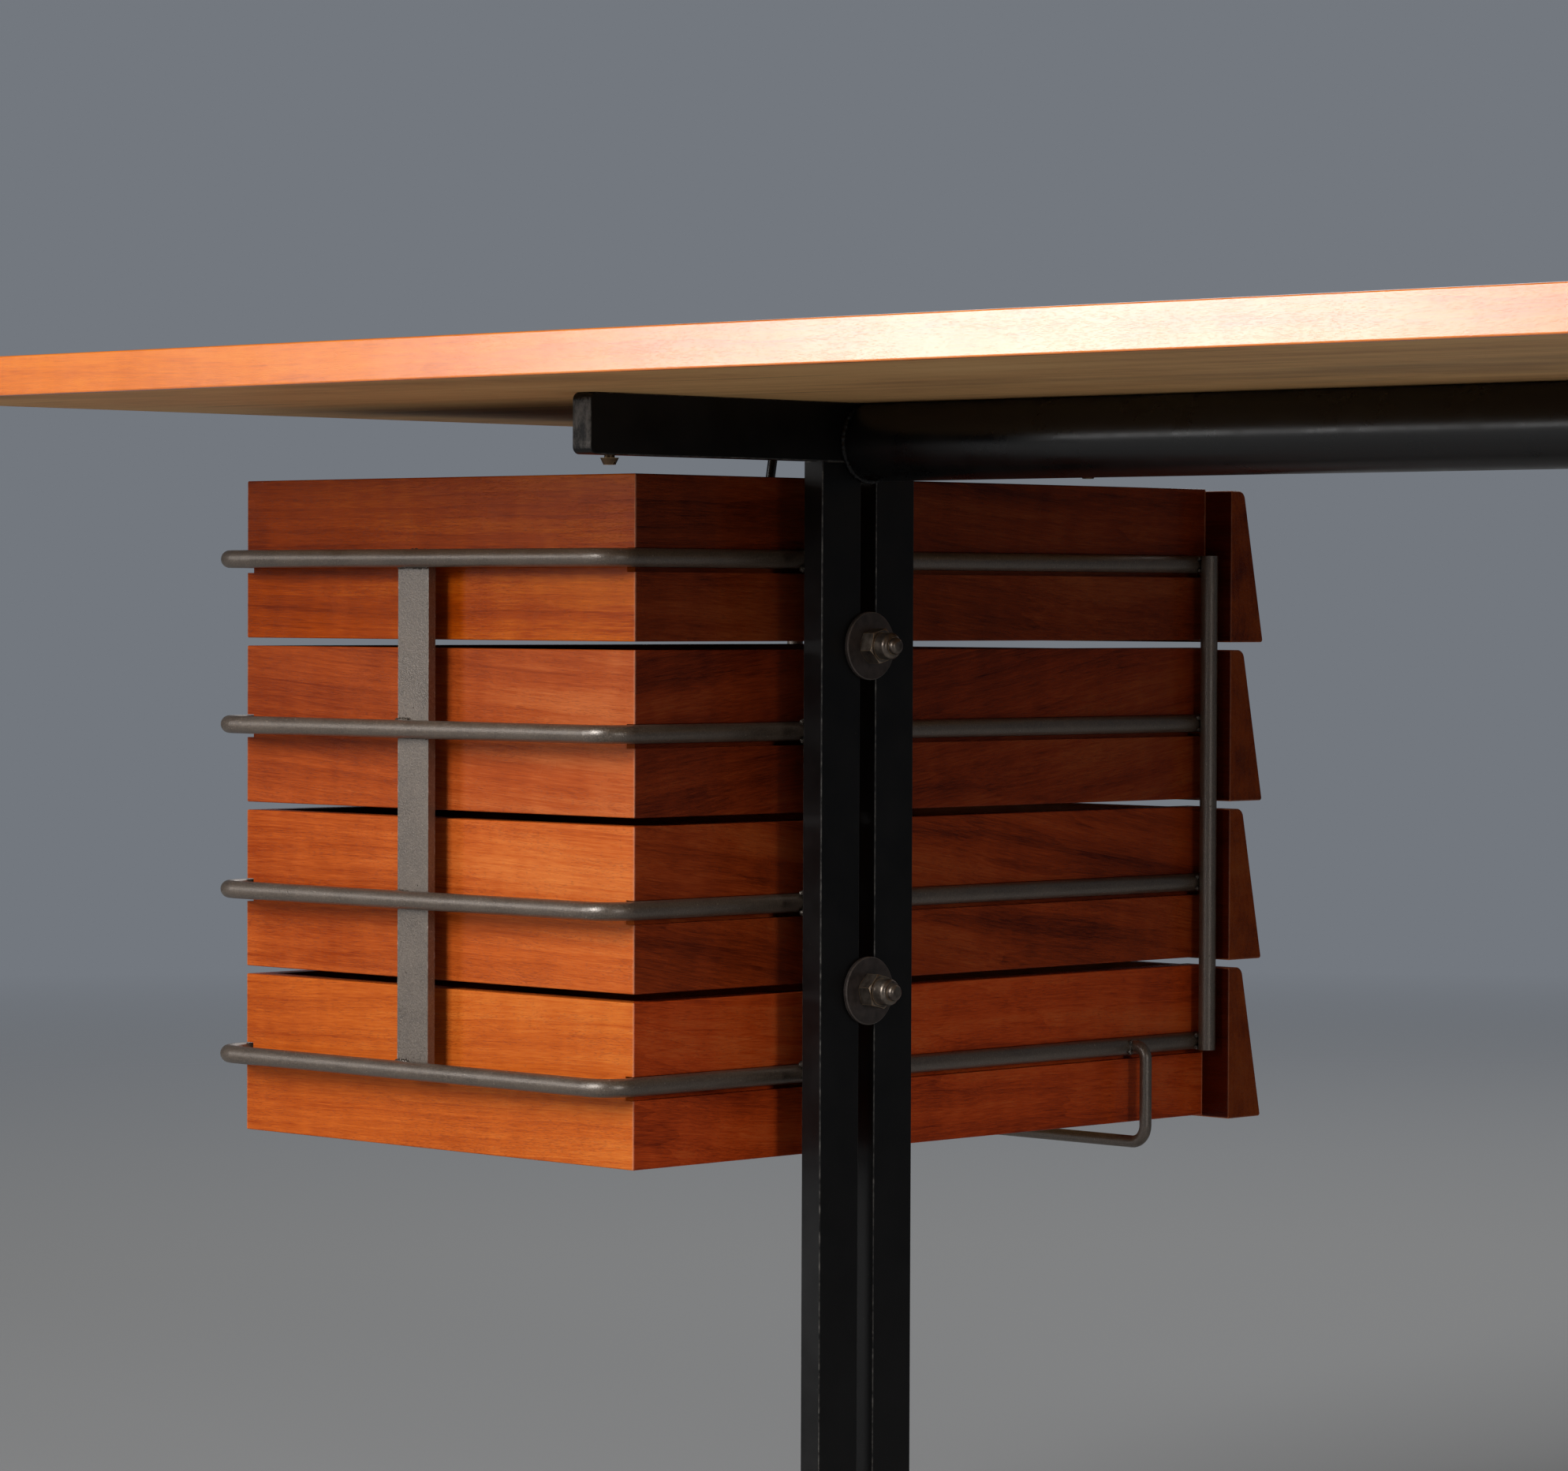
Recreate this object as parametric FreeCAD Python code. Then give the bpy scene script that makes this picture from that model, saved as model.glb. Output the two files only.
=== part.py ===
import FreeCAD, Part
import math
import os

# Writing desk, in millimetres, seen from the sitter's side: X runs to the right,
# Y to the back and Z up. The origin is on the floor under the middle of the top.
# A veneered top lies on two T-shaped legs, which a round tube joins. Each post is
# two flat bars with an open slot between them. Outside the right leg a basket of
# bent rods is bolted through the slot, and four wedge-fronted drawers slide on it.

# Tabletop
top_length = 1800.0
top_depth = 730.0
top_height = 740.0
core_thickness = 20.0
veneer_thickness = 1.0
lipping_thickness = 3.0
top_arris = 1.0

# Legs
leg_inset = 403.0
bar_width = 30.0
bar_thickness = 14.0
bar_arris = 0.8
arm_length = 415.0
arm_height = 32.0
foot_length = 600.0
foot_height = 32.0
bar_end_radius = 4.0

# Glides under the feet
glide_diameter = 24.0
glide_height = 8.0
glide_chamfer = 1.5
glide_inset = 22.0
glide_pin_diameter = 7.0
glide_pin_length = 16.0
glide_pin_clearance = 0.1

# Stretcher tube between the legs
tube_diameter = 42.4
tube_wall = 2.6

# Screws that hold the top on the arms
screw_inset = 20.0
screw_shank_diameter = 5.5
screw_head_diameter = 9.8
screw_head_tip_diameter = 6.4
screw_head_height = 3.6
screw_head_gap = 1.5
screw_grip = 14.0
screw_clearance = 0.2
screw_slot_width = 1.2
screw_slot_depth = 1.4

# Drawers
drawer_count = 4
drawer_width = 318.0
drawer_box_depth = 467.0
drawer_height = 89.0
drawer_gap = 4.5
drawer_drop = 40.0
drawer_rear_offset = 137.0
board_thickness = 12.0
board_arris = 0.8
bottom_thickness = 5.0
bottom_rise = 8.0
bottom_let_in = 5.0
bottom_fit = 0.15

# Wedge fronts
front_top_thickness = 12.0
front_bottom_thickness = 30.0
front_overhang = 20.0
front_drop = 1.2
front_top_radius = 5.5
front_arris = 1.5
front_end_arris = 1.0

# Rod basket
rod_diameter = 10.0
rod_bend_radius = 15.0
rod_stand_off = 20.0
rod_side_stand_off = 1.0
groove_clearance_above = 0.3
groove_clearance_below = 2.7
groove_clearance_in = 2.0
front_upright_setback = 9.0
strap_width = 25.0
strap_thickness = 5.0

# Guard under the bottom drawer
guard_diameter = 7.0
guard_setback = 68.0
guard_reach = 8.5
guard_drop = 11.0
guard_top_bend = 7.0
guard_bottom_bend = 10.0

# Stay from the top to the basket's outer side
stay_diameter = 6.0
stay_setback = 29.0
stay_lean = 16.0
stay_plate_length = 40.0
stay_plate_width = 16.0
stay_plate_thickness = 3.0
stay_screw_spacing = 28.0
stay_screw_diameter = 3.5
stay_screw_head_diameter = 7.0
stay_screw_head_height = 2.0
stay_screw_grip = 12.0
stay_screw_clearance = 0.15

# Studs, spacers, washers and dome nuts that hold the basket on the post
stud_diameter = 10.0
stud_chamfer = 1.0
slot_clearance = 1.0
mounting_bar_width = 30.0
mounting_bar_thickness = 8.0
spacer_diameter = 20.0
spacer_length = 12.0
washer_diameter = 37.0
washer_thickness = 2.5
washer_arris = 0.4
bore_clearance = 0.25
nut_across_flats = 17.0
nut_hex_height = 8.6
nut_chamfer = 1.1
nut_barrel_diameter = 14.6
nut_barrel_height = 16.6
nut_shoulder_radius = 2.6
nut_tip_diameter = 9.2
nut_height = 20.4
nut_tip_radius = 2.4
nut_bore_depth = 12.5
upper_nut_turn = 45.0
lower_nut_turn = 14.0

# How far a cutter runs past the face it opens, and how closely places are matched
overrun = 2.0
match_tolerance = 0.001

# Levels and places that follow from the sizes above
top_thickness = core_thickness + veneer_thickness
underside_z = top_height - top_thickness
arm_bottom_z = underside_z - arm_height
foot_top_z = glide_height + foot_height
slot_width = stud_diameter + 2 * slot_clearance
post_half = slot_width / 2 + bar_width
leg_x = top_length / 2 - leg_inset
post_outer_x = leg_x + bar_thickness / 2
post_inner_x = leg_x - bar_thickness / 2
mounting_bar_x = post_outer_x + spacer_length
rod_outer_x = mounting_bar_x + mounting_bar_thickness
rod_axis_x = rod_outer_x + rod_diameter / 2
drawer_x0 = rod_axis_x + rod_side_stand_off
drawer_x1 = drawer_x0 + drawer_width
outer_rod_axis_x = drawer_x1 + rod_side_stand_off
drawer_y1 = drawer_rear_offset
drawer_y0 = drawer_y1 - drawer_box_depth
drawer_pitch = drawer_height + drawer_gap
stack_top_z = underside_z - drawer_drop
back_rod_y = drawer_y1 + rod_stand_off
upright_y = drawer_y0 + front_upright_setback
rod_front_y = upright_y - rod_diameter / 2
groove_depth = rod_diameter / 2 - rod_side_stand_off + groove_clearance_in


def drawer_base(number):
    """Height of the lower edge of drawer 1 (top) to drawer_count (bottom)."""
    return stack_top_z - number * drawer_height - (number - 1) * drawer_gap


def rod_level(number):
    """Height of the axis of the runner rod that carries a drawer."""
    return drawer_base(number) + drawer_height / 2


def box(x0, x1, y0, y1, z0, z1):
    """Block between two corners."""
    return Part.makeBox(x1 - x0, y1 - y0, z1 - z0, FreeCAD.Vector(x0, y0, z0))


def rod(x, y, z, direction, length, diameter):
    """Round bar from a point along a direction."""
    return Part.makeCylinder(diameter / 2, length, FreeCAD.Vector(x, y, z), FreeCAD.Vector(*direction))


def ring(x, y, z, direction, length, outer, inner):
    """Round bar with a bore through it."""
    bore = rod(x, y, z, direction, length, inner)
    return rod(x, y, z, direction, length, outer).cut(bore)


def outer_rims(shape, diameter):
    """Circular edges of one diameter."""
    circles = [edge for edge in shape.Edges if isinstance(edge.Curve, Part.Circle)]
    return [edge for edge in circles if abs(2 * edge.Curve.Radius - diameter) < match_tolerance]


def prism(outline, z0, z1):
    """Upright prism on a plan outline of (x, y) points."""
    points = [FreeCAD.Vector(x, y, z0) for x, y in outline]
    face = Part.Face(Part.makePolygon(points + points[:1]))
    return face.extrude(FreeCAD.Vector(0, 0, z1 - z0))


def edges_along(shape, axis):
    """Straight edges of a shape that run along X, Y or Z (axis 0, 1 or 2)."""
    found = []
    for edge in shape.Edges:
        if not isinstance(edge.Curve, Part.Line):
            continue
        bound = edge.BoundBox
        spans = [bound.XLength, bound.YLength, bound.ZLength]
        if spans[axis] > match_tolerance and max(spans[:axis] + spans[axis + 1:]) < match_tolerance:
            found.append(edge)
    return found


def end_edges(shape):
    """Edges round the flat faces that stand square to X."""
    ends = [face for face in shape.Faces if face.BoundBox.XLength < match_tolerance]
    return [edge for face in ends for edge in face.Edges]


def softened_box(x0, x1, y0, y1, z0, z1, radius):
    """Block with all its arrises rounded."""
    block = box(x0, x1, y0, y1, z0, z1)
    return block.makeFillet(radius, block.Edges)


def rounded_path(corners, bend_radii):
    """Straight runs through the corners, with a tangent arc at each inner one."""
    points = [FreeCAD.Vector(*corner) for corner in corners]
    edges = []
    start = points[0]
    for before, corner, after, radius in zip(points, points[1:], points[2:], bend_radii):
        into = (corner - before).normalize()
        out = (after - corner).normalize()
        turn = math.acos(max(-1, min(1, into.dot(out))))
        trim = radius * math.tan(turn / 2)
        first = corner - into * trim
        last = corner + out * trim
        inward = (out - into).normalize()
        centre = corner + inward * (radius / math.cos(turn / 2))
        middle = centre - inward * radius
        edges.append(Part.LineSegment(start, first).toShape())
        edges.append(Part.Arc(first, middle, last).toShape())
        start = last
    edges.append(Part.LineSegment(start, points[-1]).toShape())
    return Part.Wire(edges)


def bent_rod(corners, bend_radii, diameter):
    """Round bar bent along a path."""
    first, second = [FreeCAD.Vector(*corner) for corner in corners[:2]]
    section = Part.Wire(Part.makeCircle(diameter / 2, first, second - first))
    return rounded_path(corners, bend_radii).makePipeShell([section], True, False)


def turned(profile, centre, direction):
    """Solid of revolution: (radius, distance) points turned about an axis through centre."""
    points = [FreeCAD.Vector(r, 0, h) for r, h in profile]
    face = Part.Face(Part.makePolygon(points + points[:1]))
    solid = face.revolve(FreeCAD.Vector(0, 0, 0), FreeCAD.Vector(0, 0, 1), 360)
    solid.Placement = FreeCAD.Placement(
        FreeCAD.Vector(*centre), FreeCAD.Rotation(FreeCAD.Vector(0, 0, 1), FreeCAD.Vector(*direction))
    )
    return solid


def save(name, *solids):
    """Write one node; identical fasteners go in together as separate solids."""
    shape = solids[0] if len(solids) == 1 else Part.makeCompound(list(solids))
    shape.exportStep(os.path.join("parts", name + ".step"))


# Tabletop: core, face veneer and four mitred edge lippings
def screw_places():
    """Axis of each screw that holds the top, as (x, y)."""
    y = arm_length / 2 - screw_inset
    return [(side * leg_x, end * y) for side in (-1, 1) for end in (-1, 1)]


def stay_screw_places():
    """Axis of each screw in the stay's plate, as (x, y)."""
    y = stay_top_y()
    return [(stay_x(), y + side * stay_screw_spacing / 2) for side in (-1, 1)]


def stay_x():
    """The stay stands just outside the outer run of the top rod."""
    return outer_rod_axis_x + rod_diameter / 2 + stay_diameter / 2


def stay_top_y():
    """Where the stay meets its plate."""
    return drawer_y0 + stay_setback


def make_top():
    half_x = top_length / 2
    half_y = top_depth / 2
    core_x = half_x - lipping_thickness
    core_y = half_y - lipping_thickness
    core_top_z = underside_z + core_thickness
    core = box(-core_x, core_x, -core_y, core_y, underside_z, core_top_z)
    for x, y in screw_places():
        core = core.cut(rod(x, y, underside_z, (0, 0, 1), screw_grip, screw_shank_diameter + screw_clearance))
    for x, y in stay_screw_places():
        hole = stay_screw_diameter + stay_screw_clearance
        core = core.cut(rod(x, y, underside_z, (0, 0, 1), stay_screw_grip, hole))
    save("tabletop_core", core)
    save("tabletop_veneer", box(-core_x, core_x, -core_y, core_y, core_top_z, top_height))

    envelope = softened_box(-half_x, half_x, -half_y, half_y, underside_z, top_height, top_arris)
    long_edge = [(-half_x, half_y), (half_x, half_y), (core_x, core_y), (-core_x, core_y)]
    short_edge = [(half_x, -half_y), (half_x, half_y), (core_x, core_y), (core_x, -core_y)]
    for side, name in ((1, "rear"), (-1, "front")):
        outline = [(x, side * y) for x, y in long_edge]
        save("lipping_" + name, prism(outline, underside_z, top_height).common(envelope))
    for side, name in ((1, "right"), (-1, "left")):
        outline = [(side * x, y) for x, y in short_edge]
        save("lipping_" + name, prism(outline, underside_z, top_height).common(envelope))


# Screws under the arms
def headed_screw(x, y):
    """Slotted pan-head screw that stands up into the top, its head under the arm."""
    seat_z = arm_bottom_z - screw_head_gap
    tip_z = seat_z - screw_head_height
    shank = rod(x, y, seat_z, (0, 0, 1), underside_z + screw_grip - seat_z, screw_shank_diameter)
    head = Part.makeCone(
        screw_head_tip_diameter / 2, screw_head_diameter / 2, screw_head_height, FreeCAD.Vector(x, y, tip_z)
    )
    half = screw_head_diameter / 2
    slot = box(
        x - half, x + half, y - screw_slot_width / 2, y + screw_slot_width / 2,
        tip_z, tip_z + screw_slot_depth,
    )
    return head.fuse(shank).removeSplitter().cut(slot)


# Legs: two bars with a slot between them, an arm under the top and a foot
def rounded_bar(x, length, z0, z1):
    """Flat bar on edge along Y, its four end corners rounded and its arrises eased."""
    x0 = x - bar_thickness / 2
    bar = box(x0, x0 + bar_thickness, -length / 2, length / 2, z0, z1)
    bar = bar.makeFillet(bar_end_radius, edges_along(bar, 0))
    return bar.makeFillet(bar_arris, end_edges(bar))


def glide_places(x):
    """Axis of the two glides under one foot, as (x, y)."""
    y = foot_length / 2 - glide_inset
    return {"front": (x, -y), "rear": (x, y)}


def make_leg(side, name):
    x = side * leg_x
    x0 = x - bar_thickness / 2
    x1 = x + bar_thickness / 2
    for end, end_name in ((-1, "front"), (1, "rear")):
        near = end * slot_width / 2
        far = end * post_half
        bar = box(x0, x1, min(near, far), max(near, far), foot_top_z, arm_bottom_z)
        bar = bar.makeFillet(bar_arris, edges_along(bar, 2))
        save(name + "_post_" + end_name + "_bar", bar)

    arm = rounded_bar(x, arm_length, arm_bottom_z, underside_z)
    for screw_x, screw_y in screw_places():
        if screw_x * side > 0:
            hole = screw_shank_diameter + screw_clearance
            arm = arm.cut(rod(screw_x, screw_y, arm_bottom_z, (0, 0, 1), arm_height, hole))
    save(name + "_arm", arm)

    foot = rounded_bar(x, foot_length, glide_height, foot_top_z)
    for end, (glide_x, glide_y) in glide_places(x).items():
        hole = glide_pin_diameter + 2 * glide_pin_clearance
        foot = foot.cut(rod(glide_x, glide_y, glide_height, (0, 0, 1), glide_pin_length, hole))
        save(name + "_" + end + "_glide", glide(glide_x, glide_y))
    save(name + "_foot", foot)


def glide(x, y):
    """Round foot glide with the pin that is pushed into the foot."""
    disc = rod(x, y, 0, (0, 0, 1), glide_height, glide_diameter)
    floor_rim = [edge for edge in outer_rims(disc, glide_diameter) if edge.BoundBox.ZMax < match_tolerance]
    disc = disc.makeChamfer(glide_chamfer, floor_rim)
    pin = rod(x, y, glide_height, (0, 0, 1), glide_pin_length, glide_pin_diameter)
    return disc.fuse(pin).removeSplitter()


def make_frame():
    make_leg(-1, "left")
    make_leg(1, "right")
    tube_z = underside_z - tube_diameter / 2
    tube = ring(-post_inner_x, 0, tube_z, (1, 0, 0), 2 * post_inner_x, tube_diameter, tube_diameter - 2 * tube_wall)
    save("stretcher_tube", tube)
    save("tabletop_screws", *[headed_screw(x, y) for x, y in screw_places()])


# Basket: four runner rods, rear strap, front uprights, guard and stay
def make_basket():
    for number in range(1, drawer_count + 1):
        z = rod_level(number)
        corners = [
            (rod_axis_x, rod_front_y, z),
            (rod_axis_x, back_rod_y, z),
            (outer_rod_axis_x, back_rod_y, z),
            (outer_rod_axis_x, rod_front_y, z),
        ]
        save("runner_rod_%d" % number, bent_rod(corners, [rod_bend_radius] * 2, rod_diameter))

    low_z = rod_level(drawer_count) - rod_diameter / 2
    high_z = rod_level(1) + rod_diameter / 2
    middle_x = (drawer_x0 + drawer_x1) / 2
    strap_y = back_rod_y - rod_diameter / 2
    strap = box(
        middle_x - strap_width / 2, middle_x + strap_width / 2,
        strap_y - strap_thickness, strap_y, low_z, high_z,
    )
    save("rear_strap", strap)
    for name, x in (
        ("inner", rod_axis_x - rod_diameter),
        ("outer", outer_rod_axis_x + rod_diameter),
    ):
        save("front_upright_" + name, rod(x, upright_y, low_z, (0, 0, 1), high_z - low_z, rod_diameter))
    make_guard()
    make_stay()


def make_guard():
    """Wire loop that hangs from the lowest rod and passes under the bottom drawer."""
    y = drawer_y0 + guard_setback
    rod_z = rod_level(drawer_count)
    low_z = drawer_base(drawer_count) - guard_drop
    inner_x = rod_outer_x
    outer_x = outer_rod_axis_x + rod_diameter / 2
    corners = [
        (inner_x, y, rod_z),
        (inner_x - guard_reach, y, rod_z),
        (inner_x - guard_reach, y, low_z),
        (outer_x + guard_reach, y, low_z),
        (outer_x + guard_reach, y, rod_z),
        (outer_x, y, rod_z),
    ]
    bends = [guard_top_bend, guard_bottom_bend, guard_bottom_bend, guard_top_bend]
    save("bottom_guard", bent_rod(corners, bends, guard_diameter))


def make_stay():
    """Slim leaning rod that ties the basket's outer side to the top, with its plate."""
    x = stay_x()
    top_y = stay_top_y()
    plate_z = underside_z - stay_plate_thickness
    foot_z = rod_level(1) - rod_diameter / 2
    circle = Part.makeCircle(stay_diameter / 2, FreeCAD.Vector(x, top_y + stay_lean, foot_z))
    stay = Part.Face(Part.Wire(circle)).extrude(FreeCAD.Vector(0, -stay_lean, plate_z - foot_z))
    save("outer_stay", stay)

    plate = box(
        x - stay_plate_width / 2, x + stay_plate_width / 2,
        top_y - stay_plate_length / 2, top_y + stay_plate_length / 2, plate_z, underside_z,
    )
    screws = []
    for screw_x, screw_y in stay_screw_places():
        hole = stay_screw_diameter + stay_screw_clearance
        plate = plate.cut(rod(screw_x, screw_y, plate_z, (0, 0, 1), stay_plate_thickness, hole))
        shank_length = stay_plate_thickness + stay_screw_grip
        shank = rod(screw_x, screw_y, plate_z, (0, 0, 1), shank_length, stay_screw_diameter)
        head = Part.makeCone(
            stay_screw_diameter / 2, stay_screw_head_diameter / 2, stay_screw_head_height,
            FreeCAD.Vector(screw_x, screw_y, plate_z - stay_screw_head_height),
        )
        screws.append(shank.fuse(head).removeSplitter())
    save("stay_plate", plate)
    save("stay_screws", *screws)


# Fixing of the basket to the post
def stud_levels():
    """Heights of the two studs, half way between the outer pairs of rods."""
    upper = (rod_level(1) + rod_level(2)) / 2
    lower = (rod_level(drawer_count - 1) + rod_level(drawer_count)) / 2
    return [upper, lower]


def rounded_peg(z, length, diameter, radius):
    """Round peg from the nut's seat towards the knees, its far rim rounded."""
    seat_x = post_inner_x - washer_thickness
    peg = rod(seat_x, 0, z, (-1, 0, 0), length, diameter)
    rim = [edge for edge in peg.Edges if edge.BoundBox.XMax < seat_x - length + match_tolerance]
    return peg.makeFillet(radius, rim)


def dome_nut(z, turn):
    """Hexagon with a round barrel and a smaller domed tip, bored from the seat only."""
    flat_radius = nut_across_flats / 2
    corner_radius = flat_radius / math.cos(math.pi / 6)
    seat_x = post_inner_x - washer_thickness
    corners = []
    for side in range(6):
        angle = math.radians(turn) + side * math.pi / 3
        corners.append(FreeCAD.Vector(seat_x, corner_radius * math.cos(angle), z + corner_radius * math.sin(angle)))
    hexagon = Part.Face(Part.makePolygon(corners + corners[:1])).extrude(FreeCAD.Vector(-nut_hex_height, 0, 0))
    chamfered = turned(
        [
            (0, 0),
            (corner_radius - nut_chamfer, 0),
            (corner_radius, nut_chamfer / 2),
            (corner_radius, nut_hex_height - nut_chamfer / 2),
            (corner_radius - nut_chamfer, nut_hex_height),
            (0, nut_hex_height),
        ],
        (seat_x, 0, z), (-1, 0, 0),
    )
    barrel = rounded_peg(z, nut_barrel_height, nut_barrel_diameter, nut_shoulder_radius)
    tip = rounded_peg(z, nut_height, nut_tip_diameter, nut_tip_radius)
    bore = rod(seat_x, 0, z, (-1, 0, 0), nut_bore_depth, stud_diameter + 2 * bore_clearance)
    return hexagon.common(chamfered).fuse([barrel, tip]).removeSplitter().cut(bore)


def make_fixing():
    low_z = rod_level(drawer_count) - rod_diameter / 2
    high_z = rod_level(1) + rod_diameter / 2
    half_width = mounting_bar_width / 2
    bar = box(mounting_bar_x, rod_outer_x, -half_width, half_width, low_z, high_z)
    bore = stud_diameter + 2 * bore_clearance
    nut_seat_x = post_inner_x - washer_thickness
    stud_end_x = nut_seat_x - nut_bore_depth + stud_chamfer
    studs, spacers, washers, nuts = [], [], [], []
    for z, turn in zip(stud_levels(), (upper_nut_turn, lower_nut_turn)):
        bar = bar.cut(rod(mounting_bar_x, 0, z, (1, 0, 0), mounting_bar_thickness, bore))
        stud = rod(stud_end_x, 0, z, (1, 0, 0), rod_outer_x - stud_end_x, stud_diameter)
        tip = [edge for edge in stud.Edges if edge.BoundBox.XMax - stud_end_x < stud_chamfer]
        studs.append(stud.makeChamfer(stud_chamfer, tip))
        spacers.append(ring(post_outer_x, 0, z, (1, 0, 0), spacer_length, spacer_diameter, bore))
        washer = ring(nut_seat_x, 0, z, (1, 0, 0), washer_thickness, washer_diameter, bore)
        washers.append(washer.makeChamfer(washer_arris, outer_rims(washer, washer_diameter)))
        nuts.append(dome_nut(z, turn))
    save("mounting_bar", bar)
    save("mounting_studs", *studs)
    save("stud_spacers", *spacers)
    save("stud_washers", *washers)
    save("dome_nuts", *nuts)


# Drawers: mitred box, let-in bottom and a wedge front that overhangs the sides
def rod_grooves(base_z):
    """The two channels, one in each side, that the runner rod passes along."""
    axis_z = base_z + drawer_height / 2
    low_z = axis_z - rod_diameter / 2 - groove_clearance_below
    high_z = axis_z + rod_diameter / 2 + groove_clearance_above
    y0 = drawer_y0 - overrun
    y1 = drawer_y1 + overrun
    inner = box(drawer_x0 - overrun, drawer_x0 + groove_depth, y0, y1, low_z, high_z)
    outer = box(drawer_x1 - groove_depth, drawer_x1 + overrun, y0, y1, low_z, high_z)
    return [inner, outer]


def bottom_board(base_z, grow):
    """The let-in bottom, grown all round by a fit when it is used as a cutter."""
    let_in = board_thickness - bottom_let_in
    return box(
        drawer_x0 + let_in - grow, drawer_x1 - let_in + grow,
        drawer_y0 - bottom_let_in - grow, drawer_y1 - let_in + grow,
        base_z + bottom_rise - grow, base_z + bottom_rise + bottom_thickness + grow,
    )


def wedge_front(base_z):
    """Front with a sloping outer face, thin at the top and thick at the finger edge."""
    x0 = drawer_x0 - front_overhang
    low_z = base_z - front_drop
    high_z = low_z + drawer_height
    middle = (x0, drawer_y0, (low_z + high_z) / 2)
    corners = [
        middle,
        (x0, drawer_y0, low_z),
        (x0, drawer_y0 - front_bottom_thickness, low_z),
        (x0, drawer_y0 - front_top_thickness, high_z),
        (x0, drawer_y0, high_z),
        middle,
    ]
    outline = rounded_path(corners, [front_arris, front_arris, front_top_radius, front_arris])
    front = Part.Face(outline).extrude(FreeCAD.Vector(drawer_width + 2 * front_overhang, 0, 0))
    front = front.removeSplitter()
    return front.makeFillet(front_end_arris, end_edges(front))


def make_drawer(number):
    base_z = drawer_base(number)
    top_z = base_z + drawer_height
    name = "drawer_%d_" % number
    inner_x = drawer_x0 + board_thickness
    outer_x = drawer_x1 - board_thickness
    inner_y = drawer_y1 - board_thickness
    boards = {
        "left_side": [(drawer_x0, drawer_y0), (inner_x, drawer_y0), (inner_x, inner_y), (drawer_x0, drawer_y1)],
        "right_side": [(drawer_x1, drawer_y0), (drawer_x1, drawer_y1), (outer_x, inner_y), (outer_x, drawer_y0)],
        "back": [(drawer_x0, drawer_y1), (inner_x, inner_y), (outer_x, inner_y), (drawer_x1, drawer_y1)],
    }
    # The rounded block has the box's outer arrises, and runs past its front end
    envelope = softened_box(
        drawer_x0, drawer_x1, drawer_y0 - overrun - board_arris, drawer_y1, base_z, top_z, board_arris
    )
    cutters = rod_grooves(base_z) + [bottom_board(base_z, bottom_fit)]
    for board, outline in boards.items():
        solid = prism(outline, base_z, top_z).common(envelope).cut(cutters)
        save(name + board, solid.removeSplitter())
    save(name + "bottom", bottom_board(base_z, 0))
    save(name + "front", wedge_front(base_z).cut(bottom_board(base_z, bottom_fit)))


os.makedirs("parts", exist_ok=True)
make_top()
make_frame()
make_basket()
make_fixing()
for drawer_number in range(1, drawer_count + 1):
    make_drawer(drawer_number)
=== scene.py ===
import math

import bpy
from mathutils import Matrix, Vector


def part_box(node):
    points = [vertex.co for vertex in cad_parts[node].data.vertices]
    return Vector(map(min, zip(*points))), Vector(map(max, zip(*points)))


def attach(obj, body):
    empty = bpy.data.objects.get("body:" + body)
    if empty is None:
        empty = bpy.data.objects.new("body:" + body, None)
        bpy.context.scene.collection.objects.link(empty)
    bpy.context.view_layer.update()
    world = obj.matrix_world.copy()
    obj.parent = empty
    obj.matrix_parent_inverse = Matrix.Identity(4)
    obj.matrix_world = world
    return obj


# Writing desk seen from behind its right-hand end: hardwood drawers in a basket of
# grey rods, a black T-leg and tube, and the bare underside of the top.
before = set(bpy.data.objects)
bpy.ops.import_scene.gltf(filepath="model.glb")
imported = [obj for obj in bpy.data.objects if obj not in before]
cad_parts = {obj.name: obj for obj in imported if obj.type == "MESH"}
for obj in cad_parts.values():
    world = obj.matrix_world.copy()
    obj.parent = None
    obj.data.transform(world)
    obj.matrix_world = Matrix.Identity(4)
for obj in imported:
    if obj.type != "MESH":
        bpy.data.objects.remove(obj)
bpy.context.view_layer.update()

MM = 0.001
DRAWERS = (1, 2, 3, 4)
QUARTER = math.radians(90)


# Colours, written as they look
def colour(code):
    """Scene colour of a #rrggbb code."""
    values = [int(code[place:place + 2], 16) / 255 for place in (1, 3, 5)]
    linear = [v / 12.92 if v <= 0.04045 else ((v + 0.055) / 1.055) ** 2.4 for v in values]
    return (*linear, 1.0)


# Short calls that build a shader
def put(tree, kind, sockets=(), family="ShaderNode", **settings):
    """Add a node; sockets gives each input a value or another node's output."""
    made = tree.nodes.new(family + kind)
    for name, value in settings.items():
        setattr(made, name, value)
    for name, value in dict(sockets).items():
        if isinstance(value, bpy.types.NodeSocket):
            tree.links.new(value, made.inputs[name])
        else:
            made.inputs[name].default_value = value
    return made


def sums(tree, operation, first, second=0.0, third=0.0, clamp=False):
    made = put(tree, "Math", {0: first, 1: second, 2: third}, operation=operation, use_clamp=clamp)
    return made.outputs[0]


def vectors(tree, operation, first, second=(0.0, 0.0, 0.0)):
    return put(tree, "VectorMath", {0: first, 1: second}, operation=operation).outputs[0]


def spread(tree, value, low, high, to_low=0.0, to_high=1.0):
    """Stretch the span low..high of a value to to_low..to_high, and cut off what lies outside."""
    sockets = {"Value": value, "From Min": low, "From Max": high, "To Min": to_low, "To Max": to_high}
    return put(tree, "MapRange", sockets).outputs["Result"]


def cloud(tree, place, scale, detail=2.0, roughness=0.5):
    sockets = {"Vector": place, "Scale": scale, "Detail": detail, "Roughness": roughness}
    return put(tree, "TexNoise", sockets).outputs["Fac"]


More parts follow.
